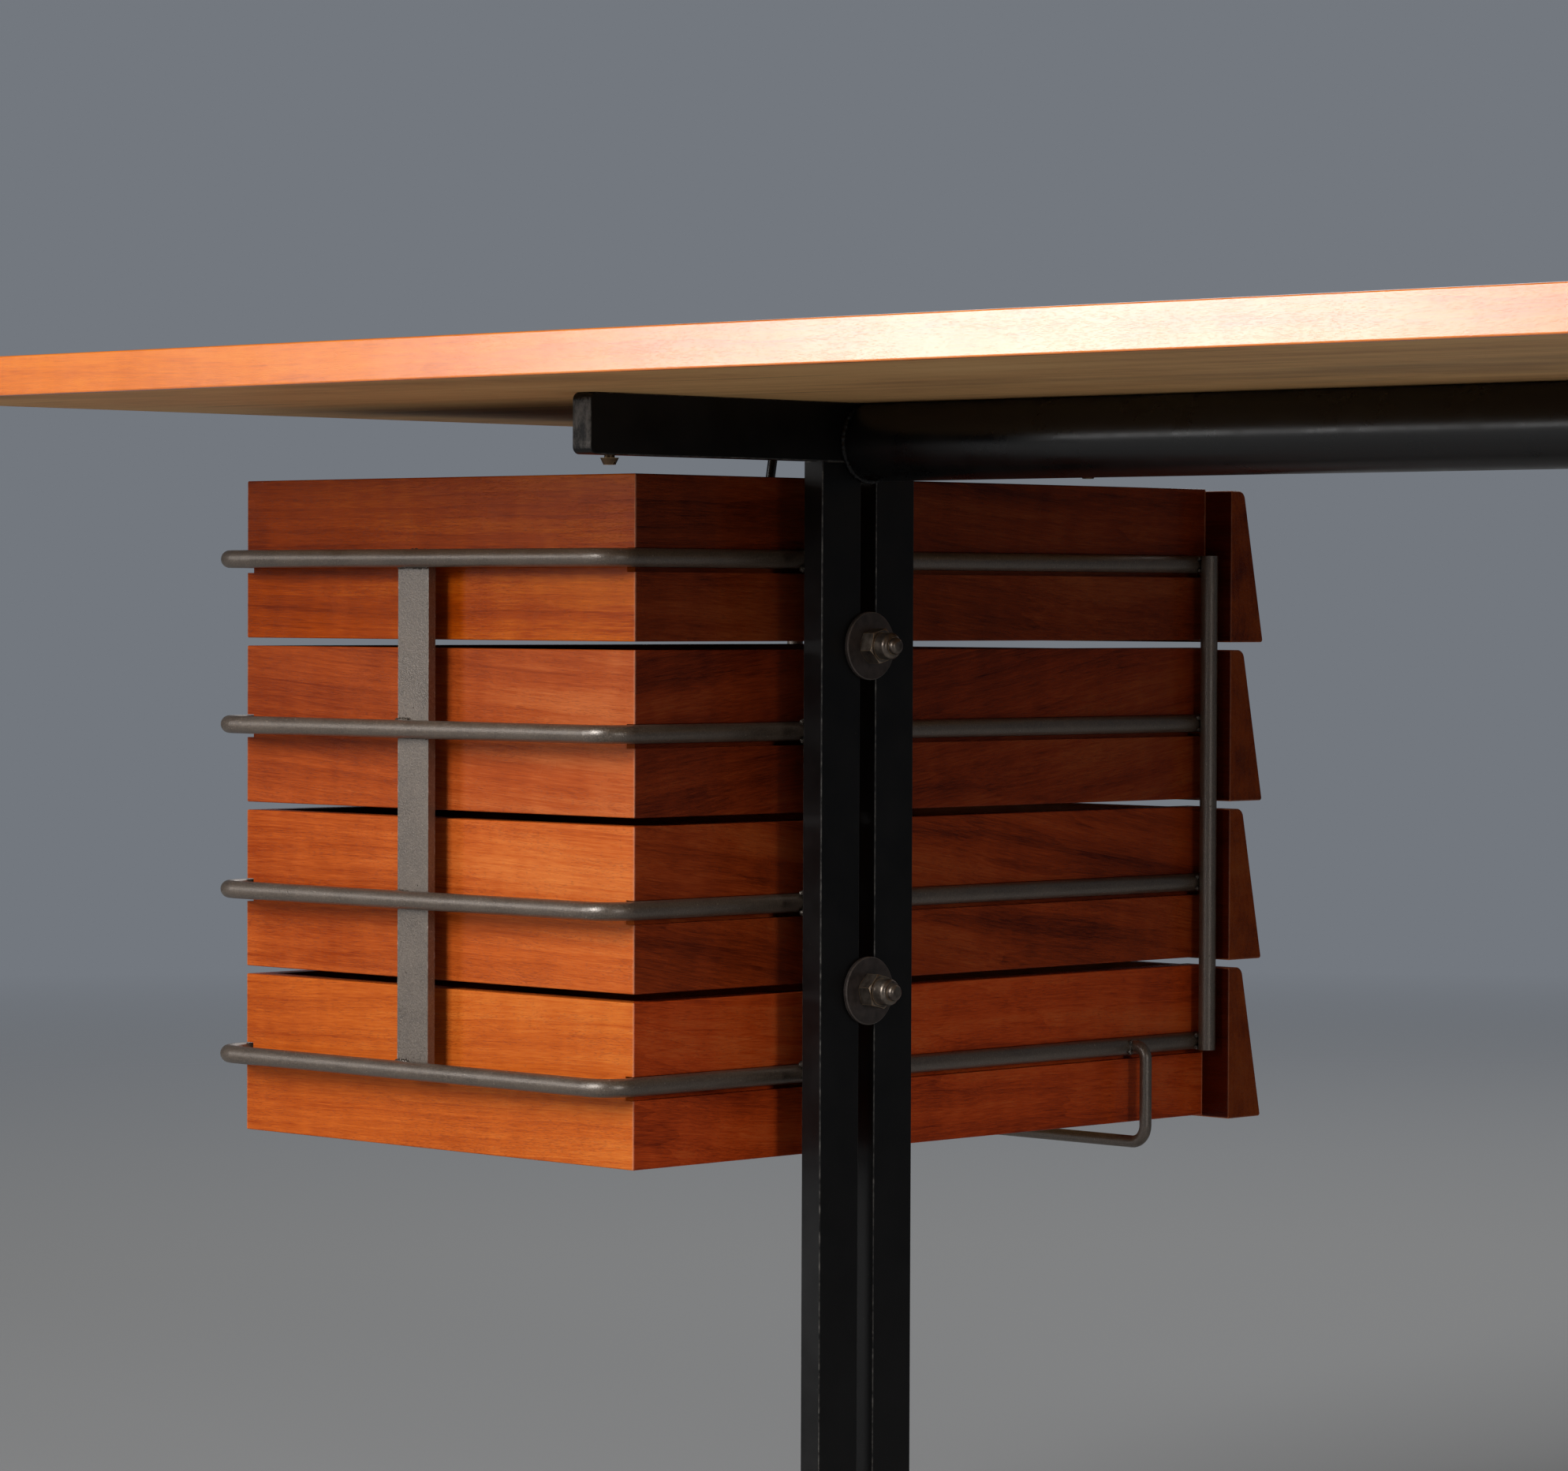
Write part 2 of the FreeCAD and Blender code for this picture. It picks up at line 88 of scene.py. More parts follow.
def stretched(tree, place, scale, shift=(0.0, 0.0, 0.0), turn=(0.0, 0.0, 0.0)):
    sockets = {"Vector": place, "Scale": scale, "Location": shift, "Rotation": turn}
    return put(tree, "Mapping", sockets).outputs["Vector"]


def tint(tree, share, first, second, mode="MIX"):
    made = put(tree, "Mix", {0: share, 6: first, 7: second}, data_type="RGBA", blend_type=mode)
    return made.outputs[2]


def ramp(tree, value, stops):
    made = put(tree, "ValToRGB", {"Fac": value})
    points = made.color_ramp.elements
    while len(points) < len(stops):
        points.new(0.5)
    for point, (position, shade) in zip(points, stops):
        point.position = position
        point.color = shade
    return made.outputs["Color"]


def new_finish(name):
    """Empty material, with its tree, its shader and the place on the piece."""
    finish = bpy.data.materials.new(name)
    finish.use_nodes = True
    tree = finish.node_tree
    tree.nodes.clear()
    shader = put(tree, "BsdfPrincipled")
    output = put(tree, "OutputMaterial", {"Surface": shader.outputs[0]})
    output.is_active_output = True
    place = put(tree, "TexCoord").outputs["Object"]
    return finish, tree, shader, place


def relief(tree, shader, height, depth, strength=1.0):
    """Let a height, in shares of a depth in metres, show in the surface."""
    bump = put(tree, "Bump", {"Height": height, "Distance": depth, "Strength": strength})
    tree.links.new(bump.outputs["Normal"], shader.inputs["Normal"])


# Worn arrises: how near a point of a block lies to one of its edges
def edge_group():
    group = bpy.data.node_groups.new("worn_edges", "ShaderNodeTree")
    face = group.interface
    face.new_socket("Place", in_out="INPUT", socket_type="NodeSocketVector")
    face.new_socket("Middle", in_out="INPUT", socket_type="NodeSocketVector")
    face.new_socket("Half size", in_out="INPUT", socket_type="NodeSocketVector")
    face.new_socket("Reach", in_out="INPUT", socket_type="NodeSocketFloat")
    face.new_socket("Unevenness", in_out="INPUT", socket_type="NodeSocketFloat")
    face.new_socket("Wear", in_out="OUTPUT", socket_type="NodeSocketFloat")
    given = group.nodes.new("NodeGroupInput").outputs
    result = group.nodes.new("NodeGroupOutput").inputs
    offset = vectors(group, "ABSOLUTE", vectors(group, "SUBTRACT", given["Place"], given["Middle"]))
    depth = put(group, "SeparateXYZ", {0: vectors(group, "SUBTRACT", given["Half size"], offset)}).outputs
    total = sums(group, "ADD", sums(group, "ADD", depth[0], depth[1]), depth[2])
    least = sums(group, "MINIMUM", sums(group, "MINIMUM", depth[0], depth[1]), depth[2])
    most = sums(group, "MAXIMUM", sums(group, "MAXIMUM", depth[0], depth[1]), depth[2])
    edge_distance = sums(group, "SUBTRACT", sums(group, "SUBTRACT", total, least), most)
    patchy = cloud(group, given["Place"], 260.0, detail=4.0, roughness=0.65)
    uneven = sums(group, "MULTIPLY", sums(group, "SUBTRACT", patchy, 0.5), given["Unevenness"])
    reach = sums(group, "MULTIPLY", given["Reach"], sums(group, "ADD", 1.0, uneven))
    wear = sums(group, "SUBTRACT", 1.0, sums(group, "DIVIDE", edge_distance, reach), clamp=True)
    group.links.new(wear, result["Wear"])
    return group


EDGES = edge_group()


def worn_edges(tree, place, block, reach, unevenness=1.6):
    low, high = block
    made = put(tree, "Group", node_tree=EDGES)
    tree.links.new(place, made.inputs["Place"])
    made.inputs["Middle"].default_value = (low + high) / 2
    made.inputs["Half size"].default_value = (high - low) / 2
    made.inputs["Reach"].default_value = reach
    made.inputs["Unevenness"].default_value = unevenness
    return made.outputs["Wear"]


# Solid timber: a log laid along X, with rings, fibres and pores right through it
def timber_group():
    group = bpy.data.node_groups.new("timber", "ShaderNodeTree")
    face = group.interface
    face.new_socket("Place", in_out="INPUT", socket_type="NodeSocketVector")
    face.new_socket("Ring width", in_out="INPUT", socket_type="NodeSocketFloat")
    face.new_socket("Wander", in_out="INPUT", socket_type="NodeSocketFloat")
    face.new_socket("Tone", in_out="OUTPUT", socket_type="NodeSocketFloat")
    face.new_socket("Pores", in_out="OUTPUT", socket_type="NodeSocketFloat")
    face.new_socket("Fibre", in_out="OUTPUT", socket_type="NodeSocketFloat")
    given = group.nodes.new("NodeGroupInput").outputs
    result = group.nodes.new("NodeGroupOutput").inputs

    bend_place = stretched(group, given["Place"], (3.0, 9.0, 9.0))
    bend = put(group, "TexNoise", {"Vector": bend_place, "Scale": 1.0, "Detail": 2.0}).outputs["Color"]
    bend = vectors(group, "SUBTRACT", bend, (0.5, 0.5, 0.5))
    bend = put(group, "VectorMath", {0: bend, "Scale": given["Wander"]}, operation="SCALE").outputs[0]
    grown = vectors(group, "ADD", given["Place"], vectors(group, "MULTIPLY", bend, (0.0, 1.0, 1.0)))

    across = vectors(group, "MULTIPLY", grown, (0.0, 1.0, 1.0))
    radius = put(group, "VectorMath", {0: across}, operation="LENGTH").outputs["Value"]
    rough_ring = cloud(group, stretched(group, grown, (4.0, 70.0, 70.0)), 1.0)
    ring = sums(group, "DIVIDE", radius, given["Ring width"])
    ring = sums(group, "MULTIPLY_ADD", rough_ring, 2.0, ring)
    late_wood = sums(group, "POWER", sums(group, "FRACT", ring), 4.0)

    bands = cloud(group, stretched(group, grown, (3.0, 55.0, 55.0)), 1.0, detail=2.0)
    streaks = cloud(group, stretched(group, grown, (9.0, 330.0, 330.0)), 1.0, detail=2.0)
    lines = cloud(group, stretched(group, grown, (30.0, 900.0, 900.0)), 1.0, detail=2.0)
    fibre = cloud(group, stretched(group, grown, (80.0, 2200.0, 2200.0)), 1.0, detail=1.0)
    blotch = cloud(group, stretched(group, given["Place"], (5.0, 11.0, 11.0)), 1.0, detail=2.0)
    shimmer = cloud(group, stretched(group, given["Place"], (60.0, 22.0, 22.0)), 1.0, detail=2.0)
    pore_field = cloud(group, stretched(group, grown, (330.0, 2300.0, 2300.0)), 1.0, detail=1.0)
    pore_bands = cloud(group, stretched(group, grown, (12.0, 120.0, 120.0)), 1.0)
    pores = sums(group, "MULTIPLY_ADD", sums(group, "SUBTRACT", pore_bands, 0.5), 0.4, pore_field)
    pores = spread(group, pores, 0.57, 0.68)
    threads = spread(group, cloud(group, stretched(group, grown, (5.0, 520.0, 520.0)), 1.0), 0.56, 0.7)

    tone = 0.5
    shares = ((bands, 0.7), (streaks, 0.18), (lines, 0.26), (fibre, 0.45), (blotch, 0.45), (shimmer, 0.25))
    for layer, share in shares:
        tone = sums(group, "MULTIPLY_ADD", sums(group, "SUBTRACT", layer, 0.5), share, tone)
    tone = sums(group, "MULTIPLY_ADD", late_wood, -0.1, tone)
    tone = sums(group, "MULTIPLY_ADD", threads, -0.08, tone)
    group.links.new(tone, result["Tone"])
    group.links.new(pores, result["Pores"])
    group.links.new(fibre, result["Fibre"])
    return group


TIMBER = timber_group()


def timber(tree, place, ring_width, wander):
    made = put(tree, "Group", node_tree=TIMBER)
    tree.links.new(place, made.inputs["Place"])
    made.inputs["Ring width"].default_value = ring_width
    made.inputs["Wander"].default_value = wander
    return made.outputs


def hardwood(name, along, tones, heart, tilt=0.0, block=None, paler_with_painted_sheen=None, shine=0.12, dull=0.25, gloss=0.0,
             ring_width=0.0045, wander=0.012, leaf=None, dark_ends_and_shaded_overhang=False, pored=0.3):
    """Satin-lacquered reddish hardwood. heart is where the log's middle lies from the board, in metres.
    The paler argument gives a place on the piece, and how much lighter the timber grows per metre from there
    to -X: partly its own tone, partly a painted sheen towards the near corner."""
    finish, tree, shader, place = new_finish(name)
    turn = QUARTER if along == "y" else 0.0
    grain = stretched(tree, place, (1.0, 1.0, 1.0), turn=(0.0, 0.0, -turn))
    if leaf:
        parts = put(tree, "SeparateXYZ", {0: grain}).outputs
        folded = sums(tree, "PINGPONG", parts[1], leaf)
        grain = put(tree, "CombineXYZ", {0: parts[0], 1: folded, 2: parts[2]}).outputs[0]
    grain = stretched(tree, grain, (1.0, 1.0, 1.0), shift=heart, turn=(0.0, tilt, 0.0))
    wood = timber(tree, grain, ring_width, wander)
    dark, middle, light = tones
    tone = wood["Tone"]
    # Lighter towards -X: partly the timber's own tone, partly a painted sheen towards the near corner.
    if paler_with_painted_sheen:
        start, rate = paler_with_painted_sheen
        across = put(tree, "SeparateXYZ", {0: place}).outputs[0]
        tone = sums(tree, "MULTIPLY_ADD", sums(tree, "SUBTRACT", start, across), rate, tone)
    base = ramp(tree, tone, [(0.12, dark), (0.5, middle), (0.88, light)])
    pore_tone = tint(tree, 1.0, base, colour("#8a6a5c"), mode="MULTIPLY")
    base = tint(tree, sums(tree, "MULTIPLY", wood["Pores"], pored), base, pore_tone)
    # Light line along the block's arrises: partly wear, partly a painted highlight of the rounded arris.
    if block:
        wear = worn_edges(tree, place, block, 1.1 * MM)
        base = tint(tree, sums(tree, "MULTIPLY", wear, 0.45), base, colour("#dda283"))
    # Darker front ends, partly end grain and partly painted shade; and a painted shadow on the rear face of
    # the overhang beside the box.
    if dark_ends_and_shaded_overhang:
        low, high = block
        across = sums(tree, "SUBTRACT", put(tree, "SeparateXYZ", {0: place}).outputs[0], (low.x + high.x) / 2)
        reach = (high.x - low.x) / 2
        across = sums(tree, "ABSOLUTE", across)
        ends = spread(tree, across, reach - 0.5 * MM, reach - 0.2 * MM, 0.0, 0.6)
        along_y = put(tree, "SeparateXYZ", {0: place}).outputs[1]
        rear = spread(tree, along_y, high.y - 0.4 * MM, high.y - 0.2 * MM)
        overhang = sums(tree, "MULTIPLY", rear, spread(tree, across, reach - 20.5 * MM, reach - 19.5 * MM))
        darkened_ends_and_shadow = sums(tree, "MAXIMUM", ends, overhang)
        base = tint(tree, darkened_ends_and_shadow, base, colour("#6a4a42"), mode="MULTIPLY")
    tree.links.new(base, shader.inputs["Base Color"])
    sheen = spread(tree, cloud(tree, place, 35.0, detail=3.0), 0.3, 0.7, dull - 0.02, dull + 0.03)
    sheen = sums(tree, "MULTIPLY_ADD", wood["Pores"], 0.3 * pored, sheen)
    tree.links.new(sheen, shader.inputs["Roughness"])
    shader.inputs["Specular IOR Level"].default_value = shine
    shader.inputs["Coat Weight"].default_value = gloss
    shader.inputs["Coat Roughness"].default_value = 0.2
    shader.inputs["Coat IOR"].default_value = 1.8
    height = sums(tree, "MULTIPLY_ADD", wood["Pores"], -1.0, sums(tree, "MULTIPLY", wood["Fibre"], 0.35))
    relief(tree, shader, height, 0.06 * MM, strength=0.6)
    return finish


def bare_board(name, along, tones, soiled=0.0):
    """Unfinished board: pale brown with long streaks and a few stains."""
    finish, tree, shader, place = new_finish(name)
    turn = QUARTER if along == "y" else 0.0
    grain = stretched(tree, place, (1.0, 1.0, 1.0), shift=(0.3, 0.07, 0.02), turn=(0.0, 0.0, -turn))
    wood = timber(tree, grain, 0.009, 0.03)
    dark, middle, light = tones
    base = ramp(tree, wood["Tone"], [(0.05, dark), (0.5, middle), (0.95, light)])
    stains = spread(tree, cloud(tree, stretched(tree, place, (3.0, 9.0, 1.0)), 1.0, detail=5.0), 0.56, 0.75)
    base = tint(tree, sums(tree, "MULTIPLY", stains, 0.35 + soiled), base, colour("#5d4630"))
    flecks = cloud(tree, stretched(tree, grain, (90.0, 300.0, 90.0)), 1.0, detail=3.0)
    flecks = spread(tree, flecks, 0.74, 0.78, 0.0, 0.7)
    base = tint(tree, flecks, base, colour("#33261b"))
    shakes = cloud(tree, stretched(tree, grain, (5.0, 110.0, 1.0)), 1.0, detail=3.0)
    shakes = spread(tree, shakes, 0.66, 0.74, 0.0, 0.6)
    base = tint(tree, shakes, base, colour("#4a3422"))
    tree.links.new(base, shader.inputs["Base Color"])
    shader.inputs["Roughness"].default_value = 0.68
    shader.inputs["Specular IOR Level"].default_value = 0.3
    relief(tree, shader, wood["Fibre"], 0.12 * MM, strength=0.5)
    return finish


def black_enamel(name, block=None, shine=0.25, dull=0.3, bare_ends=False):
    """Satin black paint on steel, rubbed bright along its arrises, and scuffed grey on bare ends."""
    finish, tree, shader, place = new_finish(name)
    mottle = cloud(tree, place, 38.0, detail=5.0, roughness=0.6)
    base = tint(tree, spread(tree, mottle, 0.35, 0.7), colour("#080707"), colour("#0f0e0e"))
    dust = spread(tree, cloud(tree, place, 900.0, detail=2.0), 0.76, 0.8)
    base = tint(tree, sums(tree, "MULTIPLY", dust, 0.4), base, colour("#6f6862"))
    dullness = spread(tree, mottle, 0.3, 0.7, dull, dull + 0.12)
    if block:
        wear = worn_edges(tree, place, block, 0.6 * MM, unevenness=1.4)
        broken = spread(tree, cloud(tree, place, 260.0, detail=5.0, roughness=0.7), 0.4, 0.75)
        wear = sums(tree, "MULTIPLY", sums(tree, "MULTIPLY", wear, broken), 0.8)
        base = tint(tree, wear, base, colour("#a19c95"))
        tree.links.new(sums(tree, "MULTIPLY", wear, 0.7), shader.inputs["Metallic"])
    if bare_ends:
        along = put(tree, "SeparateXYZ", {0: place}).outputs[1]
        ends = spread(tree, sums(tree, "ABSOLUTE", along), block[1].y - 0.3 * MM, block[1].y - 0.1 * MM)
        rubbed = cloud(tree, stretched(tree, place, (160.0, 160.0, 90.0)), 1.0, detail=6.0, roughness=0.75)
        rubbed = spread(tree, rubbed, 0.42, 0.62, 0.0, 0.55)
        base = tint(tree, sums(tree, "MULTIPLY", ends, rubbed), base, colour("#8a857f"))
    tree.links.new(base, shader.inputs["Base Color"])
    tree.links.new(dullness, shader.inputs["Roughness"])
    shader.inputs["Specular IOR Level"].default_value = shine
    orange_peel = cloud(tree, place, 520.0, detail=1.0)
    relief(tree, shader, orange_peel, 0.03 * MM, strength=0.5)
    return finish


def gunmetal(name, block=None):
    """Warm grey painted steel with a fine grain and small bare specks."""
    finish, tree, shader, place = new_finish(name)
    mottle = cloud(tree, place, 45.0, detail=5.0, roughness=0.6)
    base = tint(tree, spread(tree, mottle, 0.3, 0.7), colour("#2e251d"), colour("#463b31"))
    grain = cloud(tree, place, 1300.0, detail=2.0)
    base = tint(tree, spread(tree, grain, 0.4, 0.65, 0.0, 0.7), base, colour("#64574b"))
    specks = spread(tree, cloud(tree, place, 1000.0, detail=1.0), 0.72, 0.76, 0.0, 0.5)
    base = tint(tree, specks, base, colour("#b9ada0"))
    pits = spread(tree, cloud(tree, place, 620.0, detail=2.0), 0.27, 0.22)
    base = tint(tree, sums(tree, "MULTIPLY", pits, 0.7), base, colour("#2c2724"))
    if block:
        wear = worn_edges(tree, place, block, 0.6 * MM, unevenness=2.8)
        broken = spread(tree, cloud(tree, place, 240.0, detail=5.0, roughness=0.7), 0.55, 0.7)
        base = tint(tree, sums(tree, "MULTIPLY", wear, broken), base, colour("#b9b2a8"))
    tree.links.new(base, shader.inputs["Base Color"])
    shader.inputs["IOR"].default_value = 1.9
    shader.inputs["Specular IOR Level"].default_value = 0.65
    shader.inputs["Specular Tint"].default_value = colour("#fff4ea")
    tree.links.new(spread(tree, mottle, 0.3, 0.7, 0.32, 0.44), shader.inputs["Roughness"])
    height = sums(tree, "MULTIPLY_ADD", pits, -1.0, sums(tree, "MULTIPLY", grain, 0.5))
    relief(tree, shader, height, 0.2 * MM, strength=1.0)
    return finish


def plain_metal(name, dark, light, metallic, dullness, worn=None):
    """Aged metal: two tones in patches, fine scratches, and brighter arrises if worn is given."""
    finish, tree, shader, place = new_finish(name)
    patches = cloud(tree, place, 150.0, detail=5.0, roughness=0.65)
    base = tint(tree, spread(tree, patches, 0.35, 0.65), colour(dark), colour(light))
    if worn:
        soft = put(tree, "Bevel", {"Radius": 0.5 * MM}, samples=6).outputs["Normal"]
        true = put(tree, "NewGeometry").outputs["Normal"]
        straight = put(tree, "VectorMath", {0: soft, 1: true}, operation="DOT_PRODUCT").outputs["Value"]
        wear = spread(tree, straight, 0.995, 0.86)
        base = tint(tree, wear, base, colour(worn))
    tree.links.new(base, shader.inputs["Base Color"])
    shader.inputs["Metallic"].default_value = metallic
    patches = spread(tree, patches, 0.3, 0.7, dullness - 0.06, dullness + 0.08)
    tree.links.new(patches, shader.inputs["Roughness"])
    scratches = cloud(tree, stretched(tree, place, (300.0, 300.0, 1600.0)), 1.0, detail=3.0)
    relief(tree, shader, scratches, 0.03 * MM, strength=0.5)
    return finish


def moulded_plastic(name):
    finish, tree, shader, place = new_finish(name)
    grain = cloud(tree, place, 1500.0, detail=2.0)
    tree.links.new(tint(tree, grain, colour("#141414"), colour("#222120")), shader.inputs["Base Color"])
    shader.inputs["Roughness"].default_value = 0.55
    relief(tree, shader, grain, 0.05 * MM, strength=0.5)
    return finish


def weld_metal(name):
    """Burnt grey weld with bright chips."""
    finish, tree, shader, place = new_finish(name)
    patches = cloud(tree, place, 420.0, detail=4.0, roughness=0.65)
    base = tint(tree, spread(tree, patches, 0.35, 0.65), colour("#332d29"), colour("#5f564d"))
    chips = spread(tree, cloud(tree, place, 900.0, detail=3.0, roughness=0.7), 0.57, 0.66)
    base = tint(tree, chips, base, colour("#c9c1b6"))
    tree.links.new(base, shader.inputs["Base Color"])
    shader.inputs["Metallic"].default_value = 0.6
    tree.links.new(spread(tree, patches, 0.3, 0.7, 0.38, 0.55), shader.inputs["Roughness"])
    relief(tree, shader, cloud(tree, place, 1400.0, detail=3.0), 0.08 * MM, strength=0.8)
    return finish


# Where each finish goes
def dress(finish, *names):
    """Give CAD nodes a finish."""
    for name in names:
        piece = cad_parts[name]
        if not piece.material_slots:
            piece.data.materials.append(finish)
        for slot in piece.material_slots:
            slot.material = finish


def joined_box(*names):
    """Lowest and highest corner of several nodes together."""
    lows, highs = zip(*[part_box(name) for name in names])
    return (
        Vector([min(v[axis] for v in lows) for axis in range(3)]),
        Vector([max(v[axis] for v in highs) for axis in range(3)]),
    )


# Tones of the timber: dark streak, body and light streak, from the top drawer down. The backs grow darker
# towards the top drawer: partly the boards' own tone, partly painted shade from the top's overhang.
BACK_TONES_WITH_PAINTED_SHADE = {
    1: [colour(code) for code in ("#702402", "#a64204", "#d26a18")],
    2: [colour(code) for code in ("#7e2e0e", "#aa4a1a", "#c86a34")],
    3: [colour(code) for code in ("#94380c", "#c05a20", "#da7a38")],
    4: [colour(code) for code in ("#983a0c", "#c25c1c", "#dc7c32")],
}
# Sides: darker than the backs and darker towards the top drawer, as painted shade from the top's overhang,
# partly the boards' own tone.
SIDE_TONES_WITH_PAINTED_SHADE = {
    1: [colour(code) for code in ("#3c1206", "#7c3010", "#9c4e26")],
    2: [colour(code) for code in ("#461408", "#8a3414", "#a85428")],
    3: [colour(code) for code in ("#521808", "#a03e16", "#c05e2c")],
    4: [colour(code) for code in ("#701f0c", "#ca4c1a", "#e27034")],
}
FRONT_TONES = [colour(code) for code in ("#742808", "#bc5617", "#d67432")]
EDGE_TONES = [colour(code) for code in ("#cc5e04", "#f27e08", "#fa9220")]
TOP_TONES = [colour(code) for code in ("#8f4119", "#c26a33", "#d98a4e")]
BOARD_TONES = [colour(code) for code in ("#a8764c", "#d6a66c", "#e6bc80")]

# Slope of the grain in each drawer's back, and in its sides, in degrees
BACK_TILT = {1: 0.5, 2: 3.5, 3: 1.0, 4: -1.5}
SIDE_TILT = {1: 3.0, 2: -7.0, 3: 8.0, 4: 2.0}


def dress_drawers():
    for number in DRAWERS:
        name = "drawer_%d_" % number
        case = joined_box(name + "left_side", name + "right_side", name + "back")
        middle_z = (case[0].z + case[1].z) / 2
        # Only the upright arrises take the light line: partly wear, partly a painted highlight of the rounded
        # corners.
        uprights_for_wear_and_highlight = (case[0] - Vector((0, 0, 1)), case[1] + Vector((0, 0, 1)))
        slide = 0.37 * number
        back_heart = (slide, 0.05, 0.16 - middle_z)
        tilt = math.radians(BACK_TILT[number])
        tones = BACK_TONES_WITH_PAINTED_SHADE[number]
        paler_with_painted_sheen = ((case[0].x + case[1].x) / 2, 0.9)
        back = hardwood(name + "back_timber_with_painted_shade", "x", tones, back_heart, tilt, uprights_for_wear_and_highlight, paler_with_painted_sheen)
        dress(back, name + "back")
        tilt = math.radians(SIDE_TILT[number])
        tones = SIDE_TONES_WITH_PAINTED_SHADE[number]
        side_heart = (slide, 0.045, 0.07 - middle_z)
        sides = hardwood(name + "side_timber_with_painted_shade", "y", tones, side_heart, tilt, uprights_for_wear_and_highlight, wander=0.03)
        dress(sides, name + "left_side", name + "right_side")
        front_heart = (slide, 0.11, 0.02 - middle_z)
        front_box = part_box(name + "front")
        front = hardwood(name + "front_timber", "x", FRONT_TONES, front_heart, 0.0, front_box, dark_ends_and_shaded_overhang=True)
        dress(front, name + "front")
    floor_board = bare_board("drawer_floor_board", "x", BOARD_TONES)
    dress(floor_board, *["drawer_%d_bottom" % number for number in DRAWERS])


def dress_top():
    heart = (0.1, 0.2, -0.6)
    for name, along, sides in (("long", "x", ("front", "rear")), ("short", "y", ("left", "right"))):
        name = "lipping_timber_" + name
        edge = hardwood(name, along, EDGE_TONES, heart, shine=1.0, dull=0.21, gloss=1.0, pored=0.05)
        dress(edge, *["lipping_" + side for side in sides])
    heart = (0.4, 0.02, -0.70)
    leaves = {"ring_width": 0.011, "wander": 0.02, "leaf": 0.146}
    dress(hardwood("face_veneer", "x", TOP_TONES, heart, shine=0.05, dull=0.55, **leaves), "tabletop_veneer")
    dress(bare_board("core_board", "x", BOARD_TONES, soiled=0.1), "tabletop_core")


def dress_frame():
    for side in ("left", "right"):
        for piece in ("post_front_bar", "post_rear_bar", "arm", "foot"):
            name = "%s_%s" % (side, piece)
            dress(black_enamel("black_enamel_" + name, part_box(name), bare_ends=piece == "arm"), name)
    dress(black_enamel("black_enamel_tube", shine=0.5, dull=0.24), "stretcher_tube", "outer_stay")
    glides = ["%s_%s_glide" % (side, end) for side in ("left", "right") for end in ("front", "rear")]
    dress(moulded_plastic("glide_plastic"), *glides)
    rods = ["runner_rod_%d" % number for number in DRAWERS]
    rods += ["front_upright_inner", "front_upright_outer", "bottom_guard", "stud_spacers"]
    dress(gunmetal("grey_rod_paint"), *rods)
    for name in ("rear_strap", "mounting_bar", "stay_plate"):
        dress(gunmetal("grey_paint_" + name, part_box(name)), name)


def dress_fixings():
    washer = plain_metal("washer_steel", "#3b3431", "#4f4642", 0.5, 0.42, "#8d827a")
    nut = plain_metal("nut_bronze", "#59504a", "#857a6e", 0.9, 0.34, "#dcb88c")
    screw = plain_metal("screw_brass", "#46372a", "#68523d", 0.9, 0.4, "#b99a70")
    stud = plain_metal("stud_steel", "#6c6864", "#8b8681", 0.9, 0.36)
    dress(washer, "stud_washers")
    dress(nut, "dome_nuts")
    dress(screw, "tabletop_screws")
    dress(stud, "mounting_studs", "stay_screws")


dress_drawers()
dress_top()
dress_frame()
dress_fixings()


# Welds: beads grown along seams, and the spatter round them
def geometry_node(tree, kind, sockets=(), **settings):
    return put(tree, kind, sockets, family="GeometryNode", **settings)


def function_node(tree, kind, sockets=(), **settings):
    return put(tree, kind, sockets, family="FunctionNode", **settings)


def new_grower(name, sizes):
    """Empty Geometry Nodes tree with a named input for each size."""
    tree = bpy.data.node_groups.new(name, "GeometryNodeTree")
    tree.is_modifier = True
    face = tree.interface
    face.new_socket("Geometry", in_out="INPUT", socket_type="NodeSocketGeometry")
    for size in sizes:
        face.new_socket(size, in_out="INPUT", socket_type="NodeSocketFloat")
    face.new_socket("Finish", in_out="INPUT", socket_type="NodeSocketMaterial")
    face.new_socket("Geometry", in_out="OUTPUT", socket_type="NodeSocketGeometry")
    given = tree.nodes.new("NodeGroupInput").outputs
    result = tree.nodes.new("NodeGroupOutput").inputs
    return tree, given, result


